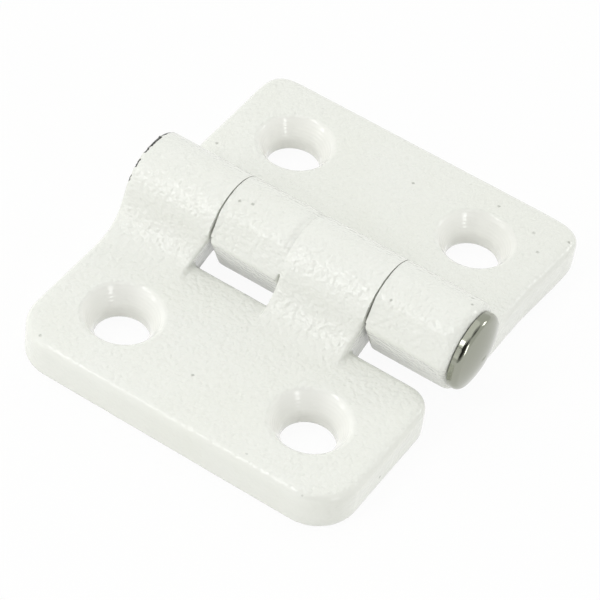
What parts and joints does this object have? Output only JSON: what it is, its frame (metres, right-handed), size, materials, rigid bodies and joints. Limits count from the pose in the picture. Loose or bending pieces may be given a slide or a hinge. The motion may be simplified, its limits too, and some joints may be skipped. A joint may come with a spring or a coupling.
{
  "type": "butt hinge",
  "caption": "Flat cast butt hinge with rounded leaves, countersunk screw holes, interlocking knuckles and a headed pin, coated in textured white.",
  "frame": {"origin": "centre of the four screw holes with the hinge open flat, under the middle of the pin, on the plane of the leaves' backs", "axes": "+X along the pin towards its head, +Y across the leaves towards the swing leaf, +Z out of the mounting plane"},
  "size_m": [0.0524, 0.0624, 0.0153],
  "materials": {
    "white_coat": "fine textured white powder coat",
    "bright_steel": "bright turned steel"
  },
  "bodies": {
    "fixed": {"fixed_leaf": "white_coat", "hinge_pin": "bright_steel"},
    "swing": {"swing_leaf": "white_coat"}
  },
  "joints": [
    {"name": "leaf_swing", "type": "hinge", "parent": "fixed", "child": "swing", "pos_m": [0, 0, 0.0089], "axis": [1, 0, 0], "range_deg": [0, 188]}
  ]
}
